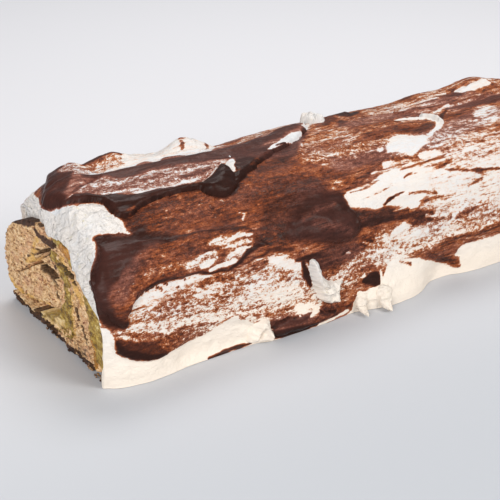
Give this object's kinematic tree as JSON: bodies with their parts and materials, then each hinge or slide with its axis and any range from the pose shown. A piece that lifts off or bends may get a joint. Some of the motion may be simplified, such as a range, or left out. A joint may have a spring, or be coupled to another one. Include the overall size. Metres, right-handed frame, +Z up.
{
  "type": "yule log cake",
  "caption": "Rolled sponge cake with custard filling under thick whipped cream smeared with melted chocolate; both ends show the cut roll.",
  "frame": {"origin": "centre of the base, on the surface the log rests on", "axes": "+X along the log, from the shown cut end (at -X) to the far one; -Y is the front side; +Z up"},
  "size_m": [0.3, 0.1216, 0.0731],
  "materials": {
    "sponge": "open matt crumb, tan, with a darker baked skin",
    "custard": "moist satin, yellow-green to amber",
    "whipped_cream": "soft satin, warm white, stained brown where chocolate is wiped over it",
    "chocolate": "thick glossy dark brown, thinning to reddish brown"
  },
  "bodies": {
    "root": {"sponge_roll": "sponge", "custard_inside": "custard", "custard_outside": "custard", "cream_coat": "whipped_cream", "chocolate_top_slab": "chocolate", "chocolate_near_lobe": "chocolate", "chocolate_pool": "chocolate", "chocolate_corner_lip": "chocolate", "chocolate_foot_lip": "chocolate", "chocolate_panel": "chocolate", "chocolate_side_smear": "chocolate", "chocolate_far_ridge": "chocolate", "chocolate_far_pool": "chocolate", "chocolate_back_slab": "chocolate", "chocolate_back_smear": "chocolate", "cream_peak_side": "whipped_cream", "cream_curl_foot": "whipped_cream", "cream_drip_left": "whipped_cream", "cream_drip_right": "whipped_cream", "cream_peak_top": "whipped_cream", "cream_peak_far": "whipped_cream"}
  },
  "joints": []
}
